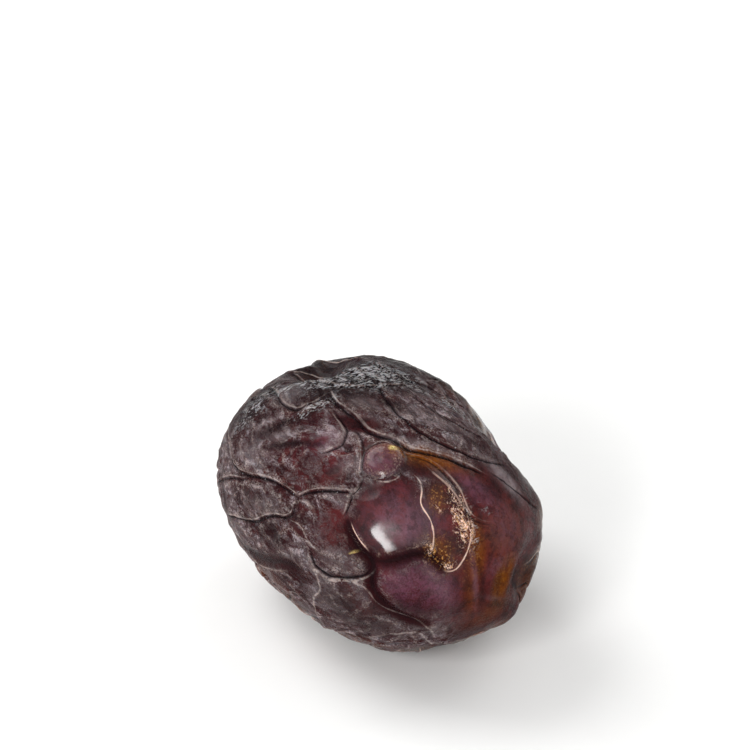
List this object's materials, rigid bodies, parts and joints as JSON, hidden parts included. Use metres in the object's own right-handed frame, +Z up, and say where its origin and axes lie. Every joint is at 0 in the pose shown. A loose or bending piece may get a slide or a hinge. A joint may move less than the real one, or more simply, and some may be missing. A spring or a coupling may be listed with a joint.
{
  "type": "date fruit",
  "caption": "Whole dried date: a plump oval fruit with wrinkled, folded dark skin, lying on a small flat spot on its side.",
  "frame": {"origin": "in the plane of the flat spot that the fruit rests on, under the middle of its box", "axes": "+Z up, away from the surface that the fruit lies on; X along its length, stem scar at -X and blossom end at +X"},
  "size_m": [0.0411, 0.0292, 0.0255],
  "materials": {
    "date_skin": "dried fruit skin: dark maroon with a dull grey-purple bloom, glossy and amber where it is bare"
  },
  "bodies": {
    "root": {"date": "date_skin"}
  },
  "joints": []
}
